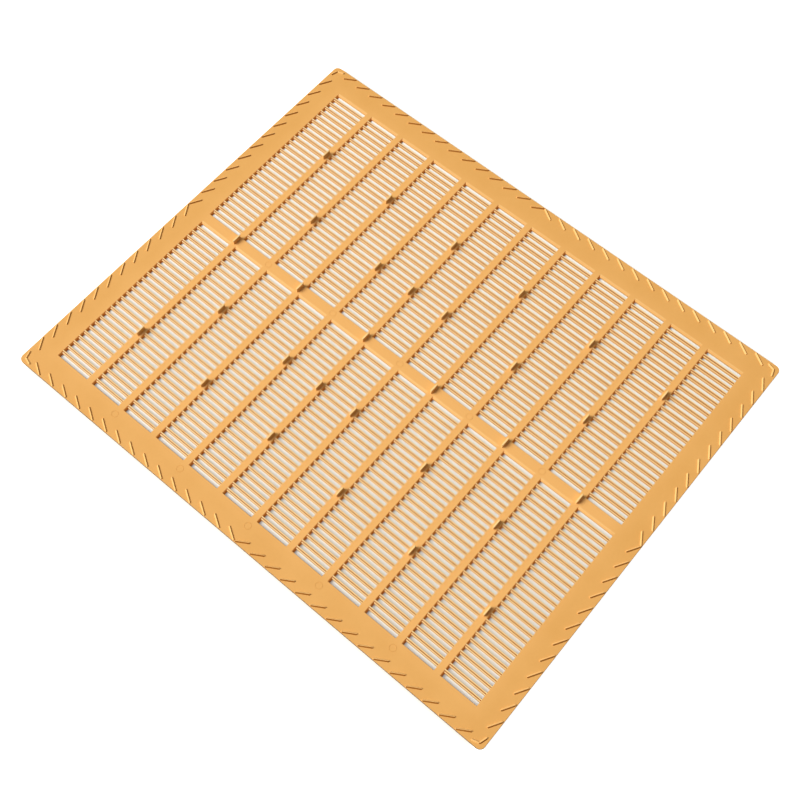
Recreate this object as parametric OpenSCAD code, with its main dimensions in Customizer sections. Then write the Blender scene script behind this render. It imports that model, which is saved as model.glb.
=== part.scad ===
// Queen excluder: a flat moulded sheet that lies between two hive boxes.
// Worker bees pass its slots, and the larger queen can't. X runs along the long side, Y along
// the short side and Z up. The underside of the sheet lies on Z = 0, centred on X and Y.

/* [Sheet] */
// Length along X, the outside of the hive box
sheet_l = 505; // [420:1:600]
// Width along Y, the outside of the hive box
sheet_w = 413; // [340:1:500]
// Thickness of the border, ribs and crossbar
sheet_t = 2.5; // [2:0.1:4]
// Radius of the four outer corners, in plan
corner_r = 5; // [2:0.5:12]

/* [Border and ribs] */
// Width of the left and right rails
end_rail_w = 23.4; // [18:0.1:34]
// Least width of the front and rear rails
side_rail_min = 24; // [18:0.1:34]
// Width of the crossbar along the middle
crossbar_w = 9.8; // [6:0.1:16]
// Distance between the ribs
rib_pitch = 38.1; // [30:0.1:46]
// Width of a rib
rib_w = 6.2; // [4:0.1:9]

/* [Slots and bars] */
// Width of a slot at its throat
slot_w = 4.1; // [4.05:0.05:4.6]
// Width of the crest of a bar, flush with the sheet
crest_w = 0.5; // [0.3:0.05:1.2]
// Width of the slope in front of the crest
slope_w = 1.75; // [1:0.05:2.2]
// Drop of the slope from the crest to the lip of the bar
slope_drop = 0.75; // [0.4:0.05:1.2]
// Height of the bars above the underside of the sheet
bar_relief = 0.4; // [0.2:0.05:0.6]

/* [Spacer pegs] */
// Height of a peg above the sheet
peg_h = 5; // [2:0.1:9]
// Length of a peg along its rib
peg_l = 9; // [5:0.1:14]
// Thickness of a peg across its rib
peg_w = 1.8; // [1:0.1:3.5]
// Distance between the peg rows, in slots
peg_row_slots = 9.5; // [6:0.5:10]

/* [Grip ridges] */
// Distance between the ridges along an edge
grip_pitch = 16.2; // [14:0.1:24]
// Length of a ridge between the centres of its round ends
grip_l = 10.9; // [6:0.1:13]
// Width of a ridge
grip_w = 1.9; // [1:0.1:2.2]
// Height of a ridge above the sheet
grip_h = 0.7; // [0.3:0.05:1.2]
// Angle between a ridge and its edge
grip_angle = 31; // [15:1:45]
// Distance from the edge to the centre of a ridge's outer end
grip_edge = 1.5; // [1.3:0.1:3]
// Distance from the middle of the edge to the centre of the first ridge's end
grip_start = 1.1; // [1.1:0.1:3]
// Length kept clear of straight ridges at the corners
grip_corner_clear = 24; // [22:0.5:40]
// Distance from both edges to the bend of a corner ridge
bend_in = 4.8; // [3.5:0.1:7]
// Distance of a corner ridge's ends from the far edge
bend_reach = 10.5; // [8:0.1:14]
// Distance of a corner ridge's ends from the near edge
bend_edge = 3; // [1.5:0.1:3.5]

/* [Hidden] */
$fn = 48;
fit_slack = 0.001;
bar_w = slope_w + crest_w;
slot_pitch = slot_w + bar_w;

// Slots fill the width that the crossbar and the side rails leave. The rails take the rest.
panel_room = (sheet_w - crossbar_w) / 2 - side_rail_min;
slot_count = floor((panel_room + crest_w) / slot_pitch + fit_slack);
panel_w = slot_count * slot_pitch - crest_w;
side_rail_w = (sheet_w - crossbar_w) / 2 - panel_w;

// Ribs stand at their pitch about the middle. The two end columns take the rest of the length.
open_l = sheet_l - 2 * end_rail_w;
rib_count = floor((open_l - rib_w) / rib_pitch + fit_slack);
column_count = rib_count + 1;
rib_x = [for (i = [1:rib_count]) (i - (rib_count + 1) / 2) * rib_pitch];
column_from = [for (c = [0:rib_count]) c == 0 ? -open_l / 2 : rib_x[c - 1] + rib_w / 2];
column_to = [for (c = [0:rib_count]) c == rib_count ? open_l / 2 : rib_x[c] - rib_w / 2];
panel_from = [-crossbar_w / 2 - panel_w, crossbar_w / 2];
sides = ["front", "rear"];

// Rows of pegs alternate between the odd ribs and the even ribs. The even rows add one rib.
peg_rows = [-2, -1, 0, 1, 2];
odd_ribs = [for (i = [1:rib_count]) if (i % 2 == 1) i];
extra_rib = floor((rib_count - 1) / 2);
even_ribs = [for (i = [1:rib_count]) if (i % 2 == 0 || i == extra_rib) i];
peg_row_pitch = peg_row_slots * slot_pitch;

grip_on_side = floor((sheet_l / 2 - grip_start - grip_corner_clear) / grip_pitch);
grip_on_end = floor((sheet_w / 2 - grip_start - grip_corner_clear) / grip_pitch);

function two_digits(i) = i < 10 ? str("0", i) : str(i);
function rib_name(i) = str("rib_", two_digits(i));
function bars_name(side, c) = str("slot_bars_", sides[side], "_", two_digits(c));
function pegs_name(row) = str("spacer_pegs_row_", row);

sheet_colour = "#f2b46c";
bar_colour = "#f6bd78";
raised_colour = "#f8c283";

// A strip with round ends between two points in plan
module round_ended(from, to, width) {
    run = to - from;
    translate(from) circle(d = width);
    translate(to) circle(d = width);
    translate(from) rotate(atan2(run[1], run[0])) translate([0, -width / 2]) square([norm(run), width]);
}

// A flat block from its lowest corner in plan, as thick as the sheet
module block(x, y, l, w) {
    color(sheet_colour) translate([x, y, 0]) cube([l, w, sheet_t]);
}

// The front rail. Its two outer corners are round.
module side_rail() {
    color(sheet_colour) linear_extrude(sheet_t) {
        translate([-sheet_l / 2, -sheet_w / 2 + corner_r]) square([sheet_l, side_rail_w - corner_r]);
        translate([-sheet_l / 2 + corner_r, -sheet_w / 2]) square([sheet_l - 2 * corner_r, corner_r]);
        for (s = [-1, 1])
            translate([s * (sheet_l / 2 - corner_r), -sheet_w / 2 + corner_r]) circle(r = corner_r);
    }
}

module front_rail() {
    side_rail();
}

module rear_rail() {
    rotate(180) side_rail();
}

module left_rail() {
    block(-sheet_l / 2, -sheet_w / 2 + side_rail_w, end_rail_w, sheet_w - 2 * side_rail_w);
}

module right_rail() {
    block(open_l / 2, -sheet_w / 2 + side_rail_w, end_rail_w, sheet_w - 2 * side_rail_w);
}

module centre_crossbar() {
    block(-open_l / 2, -crossbar_w / 2, open_l, crossbar_w);
}

// A rib in two lengths, one on each side of the crossbar
module rib(i) {
    for (side = [0, 1]) block(rib_x[i - 1] - rib_w / 2, panel_from[side], rib_w, panel_w);
}

// One bar seen from its end: a slope that rises from the lip of the bar to its crest
module bar_section(crest) {
    back = slope_w + crest;
    flat_top = crest > 0 ? [[slope_w, sheet_t]] : [];
    lip = [0, sheet_t - slope_drop];
    polygon(concat([[0, bar_relief], [back, bar_relief], [back, sheet_t]], flat_top, [lip]));
}

// The bars of one panel. Behind the last slot, the crossbar or the rear rail has the slope alone.
module slot_bars(side, c) {
    length = column_to[c - 1] - column_from[c - 1];
    color(bar_colour) translate([column_from[c - 1], panel_from[side], 0]) rotate([90, 0, 90])
        for (n = [1:slot_count]) linear_extrude(length) translate([n * slot_pitch - bar_w, 0])
            bar_section(n < slot_count ? crest_w : 0);
}

// One row of pegs, each along its rib
module spacer_pegs(row) {
    half = [0, (peg_l - peg_w) / 2];
    y = peg_rows[row - 1] * peg_row_pitch;
    color(raised_colour) for (i = row % 2 == 1 ? odd_ribs : even_ribs)
        translate([rib_x[i - 1], y, sheet_t]) linear_extrude(peg_h) round_ended(-half, half, peg_w);
}

// The ridges of one edge, which lies along X at half a width in front of the middle
module grip_ridges(half_w, last) {
    run = grip_l * [cos(grip_angle), sin(grip_angle)];
    color(raised_colour) for (s = [0, 1]) mirror([s, 0, 0]) for (k = [0:last]) {
        from = [grip_start + k * grip_pitch, -half_w + grip_edge];
        translate([0, 0, sheet_t]) linear_extrude(grip_h) round_ended(from, from + run, grip_w);
    }
}

module grip_ridges_front() {
    grip_ridges(sheet_w / 2, grip_on_side);
}

module grip_ridges_rear() {
    rotate(180) grip_ridges(sheet_w / 2, grip_on_side);
}

module grip_ridges_left() {
    rotate(-90) grip_ridges(sheet_l / 2, grip_on_end);
}

module grip_ridges_right() {
    rotate(90) grip_ridges(sheet_l / 2, grip_on_end);
}

// A bent ridge across each outer corner
module grip_ridges_corners() {
    bend = [bend_in, bend_in];
    color(raised_colour) for (sx = [0, 1]) for (sy = [0, 1]) mirror([sx, 0, 0]) mirror([0, sy, 0])
        translate([-sheet_l / 2, -sheet_w / 2, sheet_t]) linear_extrude(grip_h) {
            round_ended([bend_reach, bend_edge], bend, grip_w);
            round_ended(bend, [bend_edge, bend_reach], grip_w);
        }
}

front_rail();
rear_rail();
left_rail();
right_rail();
centre_crossbar();
for (i = [1:rib_count]) rib(i);
for (side = [0, 1]) for (c = [1:column_count])
    slot_bars(side, c);
for (row = [1:len(peg_rows)]) spacer_pegs(row);
grip_ridges_front();
grip_ridges_rear();
grip_ridges_left();
grip_ridges_right();
grip_ridges_corners();
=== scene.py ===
import math
import bmesh
import bpy
import numpy as np
from mathutils import Matrix, Vector


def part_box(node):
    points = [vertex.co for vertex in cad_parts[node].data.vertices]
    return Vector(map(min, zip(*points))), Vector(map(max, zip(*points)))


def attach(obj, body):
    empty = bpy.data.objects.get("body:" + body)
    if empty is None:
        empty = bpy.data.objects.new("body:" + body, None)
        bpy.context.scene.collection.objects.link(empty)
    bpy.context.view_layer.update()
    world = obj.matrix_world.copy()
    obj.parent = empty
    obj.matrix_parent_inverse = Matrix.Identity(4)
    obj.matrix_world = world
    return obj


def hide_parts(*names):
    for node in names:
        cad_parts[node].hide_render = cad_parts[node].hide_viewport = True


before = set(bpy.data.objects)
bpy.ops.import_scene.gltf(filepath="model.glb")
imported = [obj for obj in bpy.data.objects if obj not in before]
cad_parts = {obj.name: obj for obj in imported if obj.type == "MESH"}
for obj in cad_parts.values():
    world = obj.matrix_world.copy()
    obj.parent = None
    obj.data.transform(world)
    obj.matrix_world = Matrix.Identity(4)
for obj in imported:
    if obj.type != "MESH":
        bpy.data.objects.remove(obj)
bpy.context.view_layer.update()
print("frame loaded:", len(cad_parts), "nodes")

mm = 0.001
tiny = 1e-9  # keeps a division away from zero
white = (1, 1, 1, 1)
mixA, mixB, mixOut = 6, 7, 2  # the colour sockets of a Mix node, whose names are not unique

# places of the moulding, all read from the frame
frontRail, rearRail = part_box("front_rail"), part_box("rear_rail")
leftRail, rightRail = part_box("left_rail"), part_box("right_rail")
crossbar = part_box("centre_crossbar")
ribNames = sorted(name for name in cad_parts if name.startswith("rib_"))
ribBoxes = [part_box(name) for name in ribNames]
halfLength, halfWidth = frontRail[1].x, rearRail[1].y
sheetTop = frontRail[1].z
columnFrom = np.array([leftRail[1].x] + [box[1].x for box in ribBoxes])
columnTo = np.array([box[0].x for box in ribBoxes] + [rightRail[0].x])
panelFrom = np.array([frontRail[1].y, crossbar[1].y])
panelTo = np.array([crossbar[0].y, rearRail[0].y])
ribMiddle = np.array([(box[0].x + box[1].x) / 2 for box in ribBoxes])


# sRGB hex to the linear colour that a shader takes: a straight foot, then a power curve
def linear(hexText):
    part = np.array([int(hexText[i:i + 2], 16) for i in (1, 3, 5)]) / 255
    rgb = np.where(part <= 0.04045, part / 12.92, ((part + 0.055) / 1.055) ** 2.4)
    return (*rgb.tolist(), 1.0)


# adds one node with its settings, its fixed inputs and the sockets that feed it
def addNode(tree, kind, values=None, links=None, **settings):
    node = tree.nodes.new(kind)
    for name, value in settings.items():
        setattr(node, name, value)
    for key, value in (values or {}).items():
        node.inputs[key].default_value = value
    for key, socket in (links or {}).items():
        tree.links.new(socket, node.inputs[key])
    return node


# how far a place lies outside a rectangle about the origin, along X and along Y:
# the place without its sign, less the half sizes
def outsideOf(tree, place, halfX, halfY):
    unsigned = addNode(tree, "ShaderNodeVectorMath", None, {0: place}, operation="ABSOLUTE")
    beyond = addNode(tree, "ShaderNodeVectorMath", {1: (halfX, halfY, 0)},
                     {0: unsigned.outputs[0]}, operation="SUBTRACT")
    return addNode(tree, "ShaderNodeSeparateXYZ", None, {0: beyond.outputs[0]}).outputs


# injection-moulded polypropylene: satin, a little cloudy in colour, with the even grain of the mould.
# Colour = deep to pale by two noises, then towards the middle's lighter colour inside the border, as
# painted light
def mouldedPolypropylene(name, look):
    material = bpy.data.materials.new(name)
    material.use_nodes = True
    tree = material.node_tree
    tree.nodes.clear()
    place = addNode(tree, "ShaderNodeTexCoord").outputs["Object"]
    cloud, fleck, grain = (
        addNode(tree, "ShaderNodeTexNoise",
                {"Scale": 1 / (look[size] * mm), "Detail": detail, "Roughness": roughness},
                {"Vector": place}).outputs["Fac"]
        for size, detail, roughness in
        (("cloudSize", 3.0, 0.55), ("fleckSize", 2.0, 0.6), ("grainSize", 2.0, 0.5)))
    mixed = addNode(tree, "ShaderNodeMath", {1: look["fleckShare"]}, {0: fleck, 2: cloud},
                    operation="MULTIPLY_ADD")
    low, high = (edge * (1 + look["fleckShare"]) for edge in look["toneSpan"])
    tone = addNode(tree, "ShaderNodeMapRange", {"From Min": low, "From Max": high},
                   {"Value": mixed.outputs[0]})
    colour = addNode(tree, "ShaderNodeMix",
                     {mixA: linear(look["deep"]), mixB: linear(look["pale"])},
                     {0: tone.outputs["Result"]}, data_type="RGBA")
    outside = outsideOf(tree, place, rightRail[0].x, rearRail[0].y)
    away = addNode(tree, "ShaderNodeMath", None, {0: outside["X"], 1: outside["Y"]},
                   operation="MAXIMUM")
    inside = addNode(tree, "ShaderNodeMapRange",
                     {"From Min": -look["fade"] * mm, "From Max": look["fade"] * mm,
                      "To Min": look["middleShare"], "To Max": 0.0},
                     {"Value": away.outputs[0]}, interpolation_type="SMOOTHSTEP")
    blend = addNode(tree, "ShaderNodeMix", {mixB: linear(look["middle"])},
                    {0: inside.outputs["Result"], mixA: colour.outputs[mixOut]}, data_type="RGBA")
    gloss = addNode(tree, "ShaderNodeMapRange",
                    {"From Min": look["glossSpan"][0], "From Max": look["glossSpan"][1],
                     "To Min": look["roughLow"], "To Max": look["roughHigh"]}, {"Value": fleck})
    bump = addNode(tree, "ShaderNodeBump",
                   {"Strength": look["grainStrength"], "Distance": look["grainDepth"] * mm},
                   {"Height": grain})
    shader = addNode(tree, "ShaderNodeBsdfPrincipled",
                     {"IOR": look["ior"], "Metallic": 0.0, "Specular IOR Level": look["sheen"]},
                     {"Base Color": blend.outputs[mixOut], "Roughness": gloss.outputs["Result"],
                      "Normal": bump.outputs["Normal"]})
    addNode(tree, "ShaderNodeOutputMaterial", None, {"Surface": shader.outputs["BSDF"]})
    return material


# the same plastic in another colour for one kind of face: pale ones are painted highlight, deep ones
# painted shade, the ejector marks keep their own colour
def tinted(face, look, deep, pale):
    tint = {"deep": deep, "pale": pale}
    return mouldedPolypropylene(f"injection moulded polypropylene, {face}", look | tint)


# puts arrays of points and faces into a new piece that rides with the moulding and stands for CAD nodes
def makePiece(name, points, faces, material, nodes, smoothAngle=40):
    mesh = bpy.data.meshes.new(name)
    mesh.from_pydata(points.reshape(-1, 3).tolist(), [], faces)
    work = bmesh.new()
    work.from_mesh(mesh)
    bmesh.ops.recalc_face_normals(work, faces=work.faces)
    work.to_mesh(mesh)
    work.free()
    mesh.shade_smooth()
    mesh.set_sharp_from_angle(angle=math.radians(smoothAngle))
    mesh.materials.append(material)
    piece = bpy.data.objects.new(name, mesh)
    bpy.context.scene.collection.objects.link(piece)
    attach(piece, "root")
    if nodes:
        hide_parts(*nodes)
    return piece


# closed loops carried along a path: loops[copy, step, point], neighbours joined by quads, ends capped
def loftCopies(loops, closedPath=False):
    copies, steps, count = loops.shape[:3]
    index = np.arange(copies * steps * count).reshape(copies, steps, count)
    ahead = np.roll(index, -1, axis=1) if closedPath else index[:, 1:]
    here = index if closedPath else index[:, :-1]
    quads = np.stack([here, np.roll(here, -1, axis=2), np.roll(ahead, -1, axis=2), ahead], axis=-1)
    faces = quads.reshape(-1, 4).tolist()
    if not closedPath:
        faces += index[:, 0, ::-1].tolist() + index[:, -1].tolist()
    return loops.reshape(-1, 3), faces


# several lofts as one set of points and faces
def joined(*lofts):
    points = np.concatenate([loft[0] for loft in lofts])
    starts = np.cumsum([0] + [len(loft[0]) for loft in lofts[:-1]])
    faces = [[int(start) + k for k in face] for start, loft in zip(starts, lofts) for face in loft[1]]
    return points, faces


# the X part and the Y part of each face's normal
def facing(mesh):
    normals = np.empty(len(mesh.polygons) * 3)
    mesh.polygons.foreach_get("normal", normals)
    return normals[::3], normals[1::3]


# adds plastics to a mesh that has one, and gives each face the plastic of its number
def paintFaces(mesh, plastics, numbers):
    for plastic in plastics:
        mesh.materials.append(plastic)
    mesh.polygons.foreach_set("material_index", numbers.astype(np.int32))


# sizes in mm. The grain is drawn coarser than a mould's own, so that it shows
plasticLook = {
    "deep": "#e9ad5e", "pale": "#eeb365", "toneSpan": (0.35, 0.65),
    "cloudSize": 38, "fleckSize": 2.6, "fleckShare": 0.35,
    "ior": 1.49, "roughLow": 0.46, "roughHigh": 0.6, "glossSpan": (0.3, 0.7), "sheen": 0.25,
    "grainSize": 0.7, "grainStrength": 0.25, "grainDepth": 0.05,
    # the middle's lighter colour is painted light, the border darker than the middle
    "middle": "#f8bb6e", "middleShare": 0.8, "fade": 12,
}
plainLook = plasticLook | {"middleShare": 0.0}
barLook = plainLook | {"roughLow": 0.36, "roughHigh": 0.48, "grainStrength": 0.12}
markLook = plasticLook | {"middle": "#eaab5e"}

borderPlastic = mouldedPolypropylene("injection moulded polypropylene", plasticLook)
# pale colour painted as highlight on the bars' crests and lips and on the pegs' tops and left sides
paleHighlightPlastic = tinted("bars", barLook, "#ffdc98", "#ffe0a0")
# deep colour painted as shade on the bars' slopes and backs
slopeShadePlastic = tinted("slopes of the bars", barLook, "#a6580a", "#ae6012")
# dark colour painted as shade on the plate's sides
rimShadePlastic = tinted("sides of the plate", plainLook, "#5c340d", "#643c15")
# warmer, deeper colour painted as shade at the slots' left ends
endShadePlastic = tinted("ends of the slots", barLook, "#dd8434", "#e48c3c")
# darker colour painted as shade on the bars' front walls
wallShadePlastic = tinted("front walls of the bars", barLook, "#e6a858", "#ecae5e")
# pale colour painted as highlight on the grip ridges
ridgeHighlightPlastic = tinted("grip ridges", plainLook, "#fdc67a", "#ffcd82")
ridgeShade = tinted("right side of the ridges", plainLook, "#d49850", "#daa058")
frontShade = tinted("front side of the ridges", plainLook, "#a8661f", "#b06e27")
markPlastic = tinted("ejector marks", markLook, "#dfa253", "#e4a85a")
print("materials made")

# border, crossbar and ribs: one plate with 24 openings and softly rounded edges
plate = {"cornerRadius": 5 * mm, "cornerSteps": 6,
         "edgeRadius": 0.32 * mm, "edgeSteps": 3, "edgeAngle": 40}


# points of the four corner squares move onto rings about the corner's centre:
# radius = the larger of the two offsets, angle = 45 degrees times the smaller offset over the larger
def roundCorners(x, y, radius):
    a = np.maximum(np.abs(x) - (halfLength - radius), 0)
    b = np.maximum(np.abs(y) - (halfWidth - radius), 0)
    reach = np.maximum(a, b)
    turn = math.pi / 4 * np.minimum(a, b) / np.maximum(reach, tiny)
    major, minor = reach * np.cos(turn), reach * np.sin(turn)
    inCorner = (a > 0) & (b > 0)
    newX = np.sign(x) * (halfLength - radius + np.where(a >= b, major, minor))
    newY = np.sign(y) * (halfWidth - radius + np.where(a >= b, minor, major))
    return np.where(inCorner, newX, x), np.where(inCorner, newY, y)


# a grid with lines at the sides of the openings, less the cells that lie in a column and a panel
def makePlate():
    offsets = np.linspace(0, plate["cornerRadius"], plate["cornerSteps"] + 1)
    xLines = np.concatenate([-halfLength + offsets, np.stack([columnFrom, columnTo], 1).ravel(),
                             halfLength - offsets[::-1]])
    yLines = np.concatenate([-halfWidth + offsets, np.stack([panelFrom, panelTo], 1).ravel(),
                             halfWidth - offsets[::-1]])
    xMid, yMid = (xLines[1:] + xLines[:-1]) / 2, (yLines[1:] + yLines[:-1]) / 2
    inColumn = ((xMid[:, None] > columnFrom) & (xMid[:, None] < columnTo)).any(1)
    inPanel = ((yMid[:, None] > panelFrom) & (yMid[:, None] < panelTo)).any(1)
    solid = ~(inColumn[:, None] & inPanel[None, :])
    gridX, gridY = roundCorners(*np.meshgrid(xLines, yLines, indexing="ij"), plate["cornerRadius"])
    points = np.stack([gridX, gridY, np.full(gridX.shape, sheetTop)], -1).reshape(-1, 3)
    index = np.arange(gridX.size).reshape(gridX.shape)
    quads = np.stack([index[:-1, :-1], index[1:, :-1], index[1:, 1:], index[:-1, 1:]], -1)[solid]
    used, faces = np.unique(quads, return_inverse=True)
    nodes = ["front_rail", "rear_rail", "left_rail", "right_rail", "centre_crossbar"] + ribNames
    piece = makePiece("moulded_plate", points[used], faces.reshape(-1, 4).tolist(), borderPlastic, nodes)
    thick = piece.modifiers.new("thickness", "SOLIDIFY")
    thick.thickness, thick.offset = sheetTop, -1
    # the plate's sides take the dark colour painted as shade
    piece.data.materials.append(rimShadePlastic)
    thick.material_offset_rim = 1
    soft = piece.modifiers.new("soft edges", "BEVEL")
    soft.width, soft.segments = plate["edgeRadius"], plate["edgeSteps"]
    soft.limit_method, soft.angle_limit = "ANGLE", math.radians(plate["edgeAngle"])
    soft.harden_normals = True


makePlate()
print("plate made")

# bars: a crest flush with the plate, a steep slope in front of it and a lip along the lower edge.
# Places in a section count backwards from the front of the solid bar and up from the underside
bars = {"slots": 28, "width": 2.25 * mm,
        "wider": (0.2 * mm, 0.15 * mm),  # more than the solid bar, in front and behind
        "crest": 0.85 * mm, "crestSink": 0.03 * mm, "backRound": 0.2 * mm,
        "shoulder": (1.42 * mm, 2.41 * mm), "lip": 0.62 * mm, "lipTop": 1.6 * mm,
        "lipRound": 0.15 * mm, "roundSteps": 4, "foot": 0.25 * mm, "bottom": 0.05 * mm,
        "endSlope": 1.75 * mm, "endTurn": 110, "intoRib": 0.7 * mm,
        "flankFrom": -0.15 * mm, "flankTo": 1.6 * mm, "flankLow": 0.4 * mm, "smoothAngle": 50}

# limits for the painted light and shade, as parts of a face's normal: Y on the bars and the strip, X at
# the slots' ends
barShadePaint = {"wall": -0.95, "slope": -0.69, "back": 0.8, "strip": -0.3, "end": 0.3}


# part of a circle from one angle to another about a centre, in the plane of a section
def arc(centre, radius, fromDeg, toDeg, steps):
    turn = np.radians(np.linspace(fromDeg, toDeg, steps))
    return np.array(centre) + radius * np.stack([np.cos(turn), np.sin(turn)], -1)


# section of a bar seen from its end: base, upright back, crest, shoulder, steep slope and lip
def barSection():
    front, back = -bars["wider"][0], bars["width"] + bars["wider"][1]
    top, low, bottom = sheetTop - bars["crestSink"], bars["lipTop"], bars["bottom"]
    backRound, lipRound, steps = bars["backRound"], bars["lipRound"], bars["roundSteps"]
    base = [[front - bars["foot"], bottom], [back, bottom]]
    backEdge = arc((back - backRound, top - backRound), backRound, 0, 90, steps)
    slope = [[back - bars["crest"], top], bars["shoulder"], [bars["lip"], low]]
    lipEdge = arc((front + lipRound, low - lipRound), lipRound, 90, 180, steps)
    return np.concatenate([base, backEdge, slope, lipEdge])


# section of the strip in front of the crossbar and the rear rail: a root under the plate, slope and lip
def stripSection():
    top, low, bottom = sheetTop - bars["crestSink"], bars["lipTop"], bars["bottom"]
    slope, lipRound = bars["endSlope"], bars["lipRound"]
    root = slope + bars["intoRib"]
    lipEdge = arc((lipRound, low - lipRound), lipRound, bars["endTurn"], 180, bars["roundSteps"])
    return np.concatenate([[[0, bottom], [root, bottom], [root, top], [slope, top]], lipEdge])


# section of the slope at the left end of the slots, seen along Y: a root under the plate, foot and slope
def flankSection():
    root, top, bottom = -bars["intoRib"], sheetTop - bars["crestSink"], bars["bottom"]
    return np.array([[root, bottom], [bars["flankTo"], bottom], [bars["flankTo"], bars["flankLow"]],
                     [bars["flankFrom"], top], [root, top]])


# that slope carried along Y over one panel
def flank(xFrom, low, high):
    section = flankSection()
    loops = np.empty((1, 2, len(section), 3))
    loops[..., 0] = xFrom + section[:, 0]
    loops[0, 0, :, 1], loops[0, 1, :, 1] = low, high
    loops[..., 2] = section[:, 1]
    return loftCopies(loops)


# a section carried straight along X, once for each place in Y
def straightBars(section, y, xFrom, xTo):
    loops = np.empty((len(y), 2, len(section), 3))
    loops[:, 0, :, 0], loops[:, 1, :, 0] = xFrom, xTo
    loops[..., 1] = y[:, None, None] + section[:, 0]
    loops[..., 2] = section[:, 1]
    return loftCopies(loops)


# each loft of a panel has its plastics: on the bars the pale one as painted highlight, one for the front
# wall and a deeper one for the slope and the back as painted shade, on the strip the border's own colour
# for its slope, and at the slots' ends a warmer painted shade
def paintBarLightAndShade(mesh, counts):
    along, across = facing(mesh)
    steep = (across < barShadePaint["slope"]) | (across > barShadePaint["back"])
    onBars = np.select([across < barShadePaint["wall"], steep], [2, 1], 0)
    onStrip = np.where(across < barShadePaint["strip"], 3, 0)
    onEnds = np.where(along > barShadePaint["end"], 4, 0)
    loft = np.repeat(np.arange(len(counts)), counts)
    paintFaces(mesh, (slopeShadePlastic, wallShadePlastic, borderPlastic, endShadePlastic),
               np.choose(loft, [onBars, onStrip, onEnds]))


# bars stand a slot pitch apart from the front of a panel. The last one is the strip at its rear
def makeBars():
    width, slots, intoRib = bars["width"], bars["slots"], bars["intoRib"]
    for side, low, high in zip(("front", "rear"), panelFrom, panelTo):
        pitch = (high - low + width - bars["endSlope"]) / slots
        y = low + np.arange(1, slots + 1) * pitch - width
        for column, (xFrom, xTo) in enumerate(zip(columnFrom, columnTo), 1):
            node = f"slot_bars_{side}_{column:02d}"
            ends = xFrom - intoRib, xTo + intoRib
            lofts = (straightBars(barSection(), y[:-1], *ends),
                     straightBars(stripSection(), y[-1:], *ends),
                     flank(xFrom, low - intoRib, high + intoRib))
            piece = makePiece(f"{node}_dressed", *joined(*lofts), paleHighlightPlastic, [node],
                              bars["smoothAngle"])
            paintBarLightAndShade(piece.data, [len(loft[1]) for loft in lofts])


makeBars()
print("bars made")

# limits for the painted shade of raised pieces, as the X part and the Y part of a face's normal
sideShadePaint = {"right": 0.25, "front": -0.2}


# faces that look to the right take a second plastic, and those that look to the front right a third, as
# painted shade
def paintSideShade(mesh, plastic, frontPlastic):
    along, across = facing(mesh)
    onRight = np.where(across < sideShadePaint["front"], 2, 1)
    paintFaces(mesh, (plastic, frontPlastic), np.where(along > sideShadePaint["right"], onRight, 0))


# pegs: upright fins along the ribs, with round ends and a soft top edge
pegs = {"rows": 5, "length": 9 * mm, "width": 1.8 * mm, "topRound": 0.45 * mm, "topSteps": 4,
        "draft": 0.12 * mm, "sink": 0.2 * mm, "endSteps": 7}


# a loop with two straight sides along Y and round ends, one for each pair of half sizes
def stadium(halfW, halfL, steps):
    turn = np.concatenate([np.linspace(0, math.pi, steps), np.linspace(math.pi, 2 * math.pi, steps)])
    shift = np.repeat([1.0, -1.0], steps)
    halfW, halfL = np.asarray(halfW)[:, None], np.asarray(halfL)[:, None]
    return np.stack([halfW * np.cos(turn), halfW * np.sin(turn) + shift * (halfL - halfW)], -1)


# stadiums stacked from below the plate to the top, drawn in by the draft and along a quarter circle.
# Rows alternate between the odd ribs and the even ribs. Even rows add the rib before the middle one
def makePegs():
    ribCount = len(ribMiddle)
    odd = np.arange(0, ribCount, 2)
    even = np.sort(np.append(np.arange(1, ribCount, 2), (ribCount - 1) // 2 - 1))
    turn = np.linspace(0, math.pi / 2, pegs["topSteps"])
    inset = np.concatenate([[0, 0], pegs["draft"] + pegs["topRound"] * (1 - np.cos(turn))])
    outline = stadium(pegs["width"] / 2 - inset, pegs["length"] / 2 - inset, pegs["endSteps"])
    for row in range(1, pegs["rows"] + 1):
        node = f"spacer_pegs_row_{row}"
        low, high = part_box(node)
        rise = np.concatenate([[low.z - pegs["sink"], low.z],
                               high.z - pegs["topRound"] * (1 - np.sin(turn))])
        ribs = ribMiddle[odd if row % 2 else even]
        loops = np.empty((len(ribs), *outline.shape[:2], 3))
        loops[..., 0] = ribs[:, None, None] + outline[..., 0]
        loops[..., 1] = (low.y + high.y) / 2 + outline[..., 1]
        loops[..., 2] = rise[:, None]
        piece = makePiece(f"{node}_dressed", *loftCopies(loops), paleHighlightPlastic, [node])
        # the pegs' pale tops and left sides are painted highlight, their right sides keep the plate's
        # own colour
        paintSideShade(piece.data, borderPlastic, borderPlastic)


makePegs()
print("pegs made")

# grip ridges: slanted roof-shaped strokes along each edge, leaning away from the middle,
# and a bent one at each corner
grip = {"pitch": 16.2 * mm, "length": 10.9 * mm, "width": 2.1 * mm, "height": 1.0 * mm,
        "crown": 0.24 * mm, "sink": 0.1 * mm, "angle": 31, "edge": 1.5 * mm, "start": 1.1 * mm,
        "onSide": 15, "onEnd": 12, "endSteps": 4, "tipAngle": 0.2,
        "bendIn": 4.8 * mm, "bendReach": 10.5 * mm, "bendEdge": 3 * mm,
        "bendSoft": 1.2 * mm, "bendSteps": 5}


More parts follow.
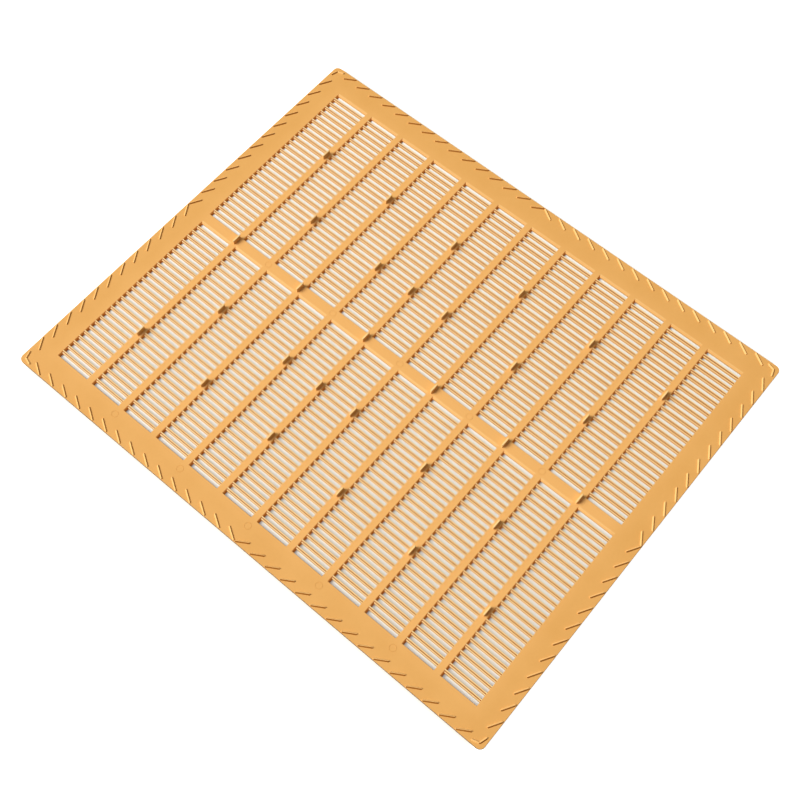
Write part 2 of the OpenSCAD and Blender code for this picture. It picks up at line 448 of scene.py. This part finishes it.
# section like a low roof with a blunt crown, carried along paths[copy, step] and drawn in to a round end
def strokes(paths, ends):
    ahead = np.gradient(paths, axis=1)
    ahead /= np.linalg.norm(ahead, axis=-1, keepdims=True)
    across = np.stack([-ahead[..., 1], ahead[..., 0]], -1)
    half, top, crown = grip["width"] / 2, sheetTop + grip["height"], grip["crown"]
    side = np.array([[half, sheetTop - grip["sink"]], [half, sheetTop],
                     [crown, top - crown / 2], [crown / 2, top]])
    section = np.concatenate([side, side[::-1] * [-1, 1]])
    out = ends[:, None] * section[:, 0]
    flat = paths[:, :, None, :] + across[:, :, None, :] * out[None, :, :, None]
    up = np.broadcast_to(section[:, 1], flat.shape[:3])
    return loftCopies(np.concatenate([flat, up[..., None]], -1))


# steps along a stroke: close together in its round ends, with the share of the full width at each step
def strokeSteps(length):
    turn = np.linspace(grip["tipAngle"], math.pi / 2, grip["endSteps"])
    reach = grip["width"] / 2
    along = np.concatenate([-reach * np.cos(turn), length + reach * np.cos(turn[::-1])])
    share = np.concatenate([np.sin(turn), np.sin(turn[::-1])])
    return along, share


# strokes along paths as one piece, pale as painted highlight, with painted shade on the right and in
# front
def makeStrokes(node, paths, ends):
    piece = makePiece(f"{node}_dressed", *strokes(paths, ends), ridgeHighlightPlastic, [node])
    paintSideShade(piece.data, ridgeShade, frontShade)


# straight strokes at a pitch along half an edge, with their mirror images, turned to each edge
def makeGrips():
    along, share = strokeSteps(grip["length"])
    slant = math.radians(grip["angle"])
    lean = np.array([math.cos(slant), math.sin(slant)])
    edges = {"front": (halfWidth, grip["onSide"], 0), "rear": (halfWidth, grip["onSide"], 180),
             "left": (halfLength, grip["onEnd"], -90), "right": (halfLength, grip["onEnd"], 90)}
    for edge, (half, count, turnDeg) in edges.items():
        startX = grip["start"] + np.arange(count) * grip["pitch"]
        start = np.stack([startX, np.full(count, grip["edge"] - half)], -1)
        paths = start[:, None, :] + along[None, :, None] * lean
        paths = np.concatenate([paths, paths * [-1, 1]])
        c, s = math.cos(math.radians(turnDeg)), math.sin(math.radians(turnDeg))
        makeStrokes(f"grip_ridges_{edge}", paths @ np.array([[c, s], [-s, c]]), share)


# a stroke along two arms of one length, with a few more steps about its bend, mirrored to each corner
def makeCornerGrips():
    bend = np.array([grip["bendIn"], grip["bendIn"]])
    first = np.array([grip["bendReach"], grip["bendEdge"]])
    last = first[::-1]
    arm = np.linalg.norm(bend - first)
    along, share = strokeSteps(2 * arm)
    nearBend = np.linspace(-grip["bendSoft"], grip["bendSoft"], grip["bendSteps"])
    along = np.sort(np.append(along, arm + nearBend))
    share = np.insert(share, len(share) // 2, np.ones(grip["bendSteps"]))
    onFirst = first + (bend - first) * (np.minimum(along, arm) / arm)[:, None]
    path = onFirst + (last - bend) * (np.maximum(along - arm, 0) / arm)[:, None]
    path = path - [halfLength, halfWidth]
    paths = np.stack([path * [sx, sy] for sx in (1, -1) for sy in (1, -1)])
    makeStrokes("grip_ridges_corners", paths, share)


makeGrips()
makeCornerGrips()
print("grip ridges made")

# marks that the mould's ejector pins leave: faint rings at the even ribs, on the crossbar and the
# front rail
marks = {"radius": 3.15 * mm, "ring": 0.5 * mm, "height": 0.12 * mm, "sink": 0.05 * mm,
         "fromEdge": 17 * mm, "steps": 24}


# a ring with a flat top about each place: its section, carried round a circle
def makeMarks():
    outer, inner = marks["radius"], marks["radius"] - marks["ring"]
    low, top, slant = sheetTop - marks["sink"], sheetTop + marks["height"], marks["height"]
    section = np.array([[outer, low], [outer - slant, top], [inner + slant, top], [inner, low]])
    turn = np.linspace(0, 2 * math.pi, marks["steps"], endpoint=False)
    even = ribMiddle[1::2]
    x = np.concatenate([even, even])
    y = np.repeat([0, marks["fromEdge"] - halfWidth], len(even))
    loops = np.empty((len(x), len(turn), len(section), 3))
    loops[..., 0] = x[:, None, None] + section[:, 0] * np.cos(turn)[:, None]
    loops[..., 1] = y[:, None, None] + section[:, 0] * np.sin(turn)[:, None]
    loops[..., 2] = section[:, 1]
    makePiece("ejector_marks", *loftCopies(loops, True), markPlastic, [])


makeMarks()
print("ejector marks made")

# floor and backdrop in one: pale, a little lower to the right and in front, with the object's shadow on
# it. It glows white for the camera and in reflections as painted light, less so under the object and
# along its long edges; beside its short edges the glow hides the shadow
floorLook = {"size": 6.0, "below": 1.2 * mm, "dropRight": 0.7 * mm, "dropFront": 0.4 * mm,
             "colour": "#e2e1da", "liftUnder": 0.22, "liftOpen": 0.95,
             "fadeX": (-14 * mm, 0), "fadeY": (-1 * mm, 9 * mm)}


# one tilted square. Its lift is the larger of two smooth steps, by the distance outside the object
# along X and along Y
def makeFloor():
    half = floorLook["size"] / 2
    slopeX, slopeY = floorLook["dropRight"] / halfLength, floorLook["dropFront"] / halfWidth
    corners = [(-half, -half), (half, -half), (half, half), (-half, half)]
    points = [(x, y, slopeY * y - slopeX * x - floorLook["below"]) for x, y in corners]
    mesh = bpy.data.meshes.new("floor")
    mesh.from_pydata(points, [], [(0, 1, 2, 3)])
    floor = bpy.data.objects.new("floor", mesh)
    bpy.context.scene.collection.objects.link(floor)
    material = bpy.data.materials.new("pale studio floor")
    material.use_nodes = True
    tree = material.node_tree
    tree.nodes.clear()
    place = addNode(tree, "ShaderNodeTexCoord").outputs["Object"]
    outside = outsideOf(tree, place, halfLength, halfWidth)
    liftX, liftY = (
        addNode(tree, "ShaderNodeMapRange",
                {"From Min": fade[0], "From Max": fade[1],
                 "To Min": floorLook["liftUnder"], "To Max": floorLook["liftOpen"]},
                {"Value": outside[axis]}, interpolation_type="SMOOTHSTEP").outputs["Result"]
        for axis, fade in (("X", floorLook["fadeX"]), ("Y", floorLook["fadeY"])))
    amount = addNode(tree, "ShaderNodeMath", None, {0: liftX, 1: liftY}, operation="MAXIMUM")
    path = addNode(tree, "ShaderNodeLightPath").outputs
    seen = addNode(tree, "ShaderNodeMath", None,
                   {0: path["Is Camera Ray"], 1: path["Is Glossy Ray"]}, operation="MAXIMUM")
    glow = addNode(tree, "ShaderNodeMath", None, {0: seen.outputs[0], 1: amount.outputs[0]},
                   operation="MULTIPLY")
    matte = addNode(tree, "ShaderNodeBsdfDiffuse", {"Color": linear(floorLook["colour"])})
    lift = addNode(tree, "ShaderNodeEmission", {"Color": white}, {"Strength": glow.outputs[0]})
    both = addNode(tree, "ShaderNodeAddShader", None, {0: matte.outputs[0], 1: lift.outputs[0]})
    addNode(tree, "ShaderNodeOutputMaterial", None, {"Surface": both.outputs[0]})
    mesh.materials.append(material)


# a broad soft light from the left of the picture and a weak one overhead, with a warm fill all round
lights = {
    "key": {"azimuth": 222, "elevation": 46, "distance": 12, "size": 8.0, "power": 1580,
            "colour": (1, 0.99, 0.97)},
    "overhead": {"azimuth": 222, "elevation": 80, "distance": 3.6, "size": 2.4, "power": 18,
                 "colour": (1, 1, 1)},
}
worldLook = {"colour": (1.0, 0.94, 0.84, 1), "strength": 0.14}


# discs that face the origin, and a world that is the fill to the object and white to the camera
def makeLights():
    for name, light in lights.items():
        a, e = math.radians(light["azimuth"]), math.radians(light["elevation"])
        away = Vector((math.cos(a) * math.cos(e), math.sin(a) * math.cos(e), math.sin(e)))
        lamp = bpy.data.lights.new(name, "AREA")
        lamp.shape, lamp.size = "DISK", light["size"]
        lamp.energy, lamp.color = light["power"], light["colour"]
        holder = bpy.data.objects.new(name, lamp)
        bpy.context.scene.collection.objects.link(holder)
        holder.location = away * light["distance"]
        holder.rotation_euler = away.to_track_quat("Z", "Y").to_euler()
    world = bpy.data.worlds.new("studio")
    world.use_nodes = True
    bpy.context.scene.world = world
    tree = world.node_tree
    tree.nodes.clear()
    fill = addNode(tree, "ShaderNodeBackground",
                   {"Color": worldLook["colour"], "Strength": worldLook["strength"]})
    backdrop = addNode(tree, "ShaderNodeBackground", {"Color": white, "Strength": 1.0})
    path = addNode(tree, "ShaderNodeLightPath").outputs
    both = addNode(tree, "ShaderNodeMixShader", None,
                   {0: path["Is Camera Ray"], 1: fill.outputs[0], 2: backdrop.outputs[0]})
    addNode(tree, "ShaderNodeOutputWorld", None, {"Surface": both.outputs[0]})


# camera: at the angle that the sheet's corners and ribs give
view = {"azimuth": 39.615, "elevation": 65.665, "roll": 0.482, "lens": 52.6, "sensor": 36,
        "clip": (0.01, 50), "distance": 0.9851, "target": (21.99 * mm, -25.73 * mm, 2.5 * mm)}


# stands back from the target along azimuth and elevation, and then rolls about its own axis
def makeCamera():
    a, e, r = (math.radians(view[key]) for key in ("azimuth", "elevation", "roll"))
    back = Vector((math.sin(a) * math.cos(e), -math.cos(a) * math.cos(e), math.sin(e)))
    right = Vector((math.cos(a), math.sin(a), 0))
    up = back.cross(right)
    right, up = right * math.cos(r) + up * math.sin(r), up * math.cos(r) - right * math.sin(r)
    lens = bpy.data.cameras.new("camera")
    lens.lens, lens.sensor_width, lens.sensor_fit = view["lens"], view["sensor"], "HORIZONTAL"
    lens.clip_start, lens.clip_end = view["clip"]
    camera = bpy.data.objects.new("camera", lens)
    bpy.context.scene.collection.objects.link(camera)
    turn = Matrix((right, up, back)).transposed().to_4x4()
    camera.matrix_world = Matrix.Translation(Vector(view["target"]) + back * view["distance"]) @ turn
    bpy.context.scene.camera = camera


makeFloor()
makeLights()
makeCamera()
bpy.context.scene.view_settings.view_transform = "Standard"
print("floor, lights and camera made")
